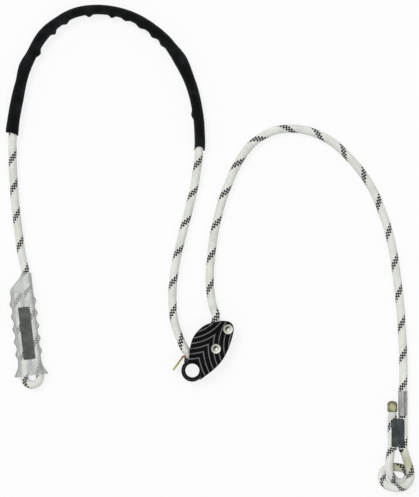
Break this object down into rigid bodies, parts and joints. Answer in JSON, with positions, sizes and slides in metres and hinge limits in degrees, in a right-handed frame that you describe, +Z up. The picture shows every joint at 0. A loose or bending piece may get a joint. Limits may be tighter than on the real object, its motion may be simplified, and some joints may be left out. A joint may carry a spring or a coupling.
{
  "type": "tree climbing lanyard",
  "caption": "Work-positioning rope lanyard with a sewn eye at each end, a wear sleeve, and a two-plate rope adjuster with a cam arm, connector eye and release lever.",
  "frame": {"origin": "on the ground, under the middle of the outline that the lanyard lies in", "axes": "+Z up from the ground it lies on; +Y up the picture, from the eyes towards the sleeve's arch; +X to the picture's right"},
  "size_m": [0.5413, 0.647, 0.0227],
  "materials": {
    "rope": "smooth braided sheath, off-white with a black tracer",
    "thread": "dense rows of dark grey-green bar stitching",
    "wear_sleeve": "black tubular webbing",
    "clear_cover": "milky clear plastic",
    "shrink_sleeve": "grey translucent shrink tube",
    "tail_cap": "olive dipped plastic",
    "plates": "black anodised, with a pattern of engraved grey lines",
    "arm": "black anodised, satin",
    "saddle": "black anodised, satin",
    "lever": "gold anodised",
    "rivets": "turned bright steel",
    "pins": "ground steel",
    "bushes": "turned bronze"
  },
  "bodies": {
    "root": {"front_plate": "plates", "rear_plate": "plates", "pivot_rivet": "rivets", "post_rivet": "rivets", "post_spacer": "pins", "pivot_bush": "bushes", "rear_arm_washer": "bushes", "front_arm_washer": "bushes", "lower_saddle_dowel": "pins", "upper_saddle_dowel": "pins", "arm_stop_pin": "pins", "rope_saddle": "saddle", "left_sewn_eye": "rope", "left_eye_stitching": "thread", "left_eye_cover": "clear_cover", "right_sewn_eye": "rope", "right_eye_stitching": "thread", "right_shrink_sleeve": "shrink_sleeve", "right_tail_cap": "tail_cap", "rope_load_side": "rope", "rope_free_side": "rope", "rope_in_adjuster": "rope", "wear_sleeve": "wear_sleeve"},
    "cam_arm": {"cam_arm": "arm", "lever_pin": "pins"},
    "release_lever": {"release_lever": "lever"}
  },
  "joints": [
    {"name": "arm_pivot", "type": "hinge", "parent": "root", "child": "cam_arm", "pos_m": [0.00871, -0.1334, 0.0096], "axis": [0, 0, 1], "range_deg": [0, 4.2]},
    {"name": "lever_pivot", "type": "hinge", "parent": "cam_arm", "child": "release_lever", "pos_m": [-0.03043, -0.14974, 0.0096], "axis": [0, 0, 1], "range_deg": [0, 24]}
  ]
}
